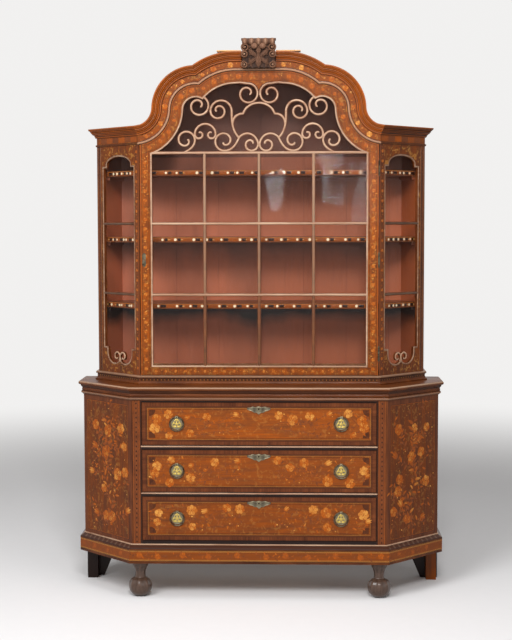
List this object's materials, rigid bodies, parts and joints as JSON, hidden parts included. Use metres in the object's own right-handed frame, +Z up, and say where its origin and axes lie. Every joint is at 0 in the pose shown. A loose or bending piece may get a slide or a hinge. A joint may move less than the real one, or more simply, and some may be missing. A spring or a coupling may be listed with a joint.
{
  "type": "china cabinet",
  "caption": "Two-case china cabinet: drawer chest with canted corners under an arched, glazed display case with a hinged door, shelves, ball feet and a carved crest.",
  "frame": {"origin": "middle of the floor area that the cabinet's box covers, on the floor", "axes": "+X across the front to the right as seen from the front, +Y from the front to the back, +Z up"},
  "size_m": [1.566, 0.426, 2.319],
  "materials": {
    "walnut": "french-polished walnut veneer, satin",
    "moulding": "dark polished walnut, satin",
    "marquetry": "figured veneer with floral marquetry, polished",
    "carving": "carved dark wood, waxed",
    "feet": "turned dark wood, polished",
    "ebonised": "black stained wood, dull",
    "oak": "plain oak, waxed",
    "lining": "boards with a dusty pink painted lining, matt",
    "shelf": "veneered shelf with an inlaid front edge, satin",
    "glazing_bar": "pale pinkish carved moulding, satin",
    "glass": "clear thin sheet glass",
    "aged_brass": "aged brass, dull in the hollows",
    "bolt_steel": "brushed steel"
  },
  "bodies": {
    "root": {"plinth": "walnut", "front_stiles": "walnut", "drawer_rails": "walnut", "chest_top": "walnut", "chest_side_left": "walnut", "chest_side_right": "walnut", "upper_side_left": "walnut", "upper_side_right": "walnut", "waist_moulding": "moulding", "upper_base": "moulding", "cornice": "moulding", "roof_boards": "moulding", "crest_ledge": "moulding", "canted_panel_left": "marquetry", "canted_panel_right": "marquetry", "canted_frame_left": "marquetry", "canted_frame_right": "marquetry", "frieze": "marquetry", "crest": "carving", "front_foot_left": "feet", "front_foot_right": "feet", "back_foot_left": "ebonised", "back_foot_right": "ebonised", "chest_bottom": "oak", "chest_back": "oak", "drawer_runners": "oak", "upper_bottom": "oak", "corner_linings": "lining", "upper_back": "lining", "shelf_cleats": "lining", "shelves": "shelf", "canted_bars": "glazing_bar", "canted_glass": "glass", "case_hinge_leaves": "aged_brass"},
    "door": {"door_frame": "marquetry", "door_bars": "glazing_bar", "door_tracery": "glazing_bar", "door_glass": "glass", "door_lock": "aged_brass", "door_hinge_leaves": "aged_brass"},
    "door_bolt": {"door_bolt": "bolt_steel"},
    "drawer_lower": {"drawer_front_lower": "marquetry", "drawer_box_lower": "oak", "drawer_brasses_lower": "aged_brass"},
    "drawer_bolt_lower": {"drawer_bolt_lower": "bolt_steel"},
    "ring_lower_left": {"ring_lower_left": "aged_brass"},
    "ring_lower_right": {"ring_lower_right": "aged_brass"},
    "drawer_middle": {"drawer_front_middle": "marquetry", "drawer_box_middle": "oak", "drawer_brasses_middle": "aged_brass"},
    "drawer_bolt_middle": {"drawer_bolt_middle": "bolt_steel"},
    "ring_middle_left": {"ring_middle_left": "aged_brass"},
    "ring_middle_right": {"ring_middle_right": "aged_brass"},
    "drawer_upper": {"drawer_front_upper": "marquetry", "drawer_box_upper": "oak", "drawer_brasses_upper": "aged_brass"},
    "drawer_bolt_upper": {"drawer_bolt_upper": "bolt_steel"},
    "ring_upper_left": {"ring_upper_left": "aged_brass"},
    "ring_upper_right": {"ring_upper_right": "aged_brass"}
  },
  "joints": [
    {"name": "door_hinge", "type": "hinge", "parent": "root", "child": "door", "pos_m": [0.4965, -0.1155, 1.408], "axis": [0, 0, 1], "range_deg": [0, 120]},
    {"name": "door_bolt_throw", "type": "slide", "parent": "door", "child": "door_bolt", "axis": [-1, 0, 0], "range_m": [0, 0.008]},
    {"name": "drawer_lower_slide", "type": "slide", "parent": "root", "child": "drawer_lower", "axis": [0, -1, 0], "range_m": [0, 0.29]},
    {"name": "drawer_bolt_lower_throw", "type": "slide", "parent": "drawer_lower", "child": "drawer_bolt_lower", "axis": [0, 0, 1], "range_m": [0, 0.008]},
    {"name": "ring_lower_left_swing", "type": "hinge", "parent": "drawer_lower", "child": "ring_lower_left", "pos_m": [-0.34, -0.1963, 0.3675], "axis": [-1, 0, 0], "range_deg": [0, 90]},
    {"name": "ring_lower_right_swing", "type": "hinge", "parent": "drawer_lower", "child": "ring_lower_right", "pos_m": [0.34, -0.1963, 0.3675], "axis": [-1, 0, 0], "range_deg": [0, 90]},
    {"name": "drawer_middle_slide", "type": "slide", "parent": "root", "child": "drawer_middle", "axis": [0, -1, 0], "range_m": [0, 0.29]},
    {"name": "drawer_bolt_middle_throw", "type": "slide", "parent": "drawer_middle", "child": "drawer_bolt_middle", "axis": [0, 0, 1], "range_m": [0, 0.008]},
    {"name": "ring_middle_left_swing", "type": "hinge", "parent": "drawer_middle", "child": "ring_middle_left", "pos_m": [-0.34, -0.1963, 0.567], "axis": [-1, 0, 0], "range_deg": [0, 90]},
    {"name": "ring_middle_right_swing", "type": "hinge", "parent": "drawer_middle", "child": "ring_middle_right", "pos_m": [0.34, -0.1963, 0.567], "axis": [-1, 0, 0], "range_deg": [0, 90]},
    {"name": "drawer_upper_slide", "type": "slide", "parent": "root", "child": "drawer_upper", "axis": [0, -1, 0], "range_m": [0, 0.29]},
    {"name": "drawer_bolt_upper_throw", "type": "slide", "parent": "drawer_upper", "child": "drawer_bolt_upper", "axis": [0, 0, 1], "range_m": [0, 0.008]},
    {"name": "ring_upper_left_swing", "type": "hinge", "parent": "drawer_upper", "child": "ring_upper_left", "pos_m": [-0.34, -0.1963, 0.764], "axis": [-1, 0, 0], "range_deg": [0, 90]},
    {"name": "ring_upper_right_swing", "type": "hinge", "parent": "drawer_upper", "child": "ring_upper_right", "pos_m": [0.34, -0.1963, 0.764], "axis": [-1, 0, 0], "range_deg": [0, 90]}
  ]
}
